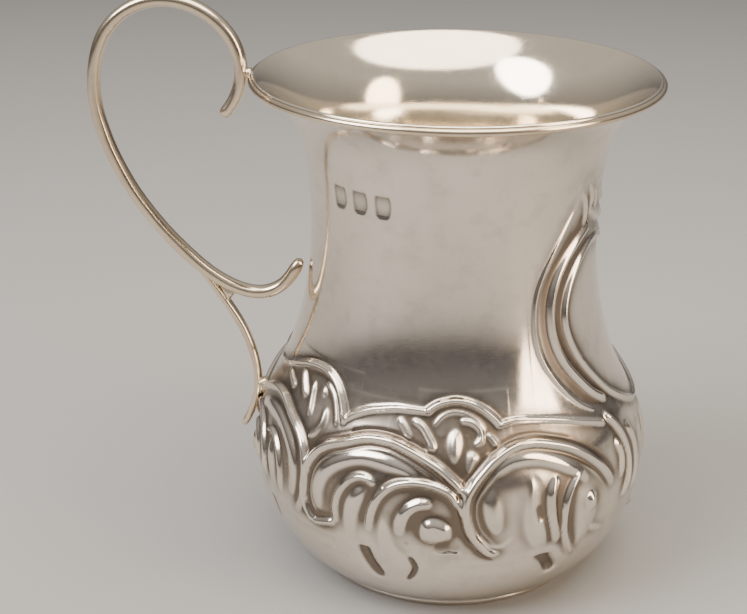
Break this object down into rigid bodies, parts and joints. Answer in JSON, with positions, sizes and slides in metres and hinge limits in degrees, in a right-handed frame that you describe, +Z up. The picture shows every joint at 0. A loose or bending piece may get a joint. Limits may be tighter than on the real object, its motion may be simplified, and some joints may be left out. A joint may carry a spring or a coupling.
{
  "type": "cream jug",
  "caption": "Small round-mouthed silver cream jug with a narrow waist, a low embossed belly, a foot ring and a scrolled wire handle.",
  "frame": {"origin": "centre of the foot ring's resting face, on the jug's axis", "axes": "+Z up along the jug's axis, -X towards the handle, the handle lies in the XZ plane"},
  "size_m": [0.0872, 0.062, 0.0898],
  "materials": {
    "polished_silver": "polished sterling silver with fine wear and a little tarnish in the recesses",
    "silver_wire": "polished drawn silver wire, slightly softer than the body",
    "silver_solder": "hard solder filed smooth, a little warmer and duller than the silver"
  },
  "bodies": {
    "root": {"body_shell": "polished_silver", "base_disc": "polished_silver", "foot_ring": "polished_silver", "rim_wire": "polished_silver", "handle_scroll": "silver_wire", "lower_scroll": "silver_wire", "rim_block": "silver_solder", "belly_block": "silver_solder", "branch_solder": "silver_solder"}
  },
  "joints": []
}
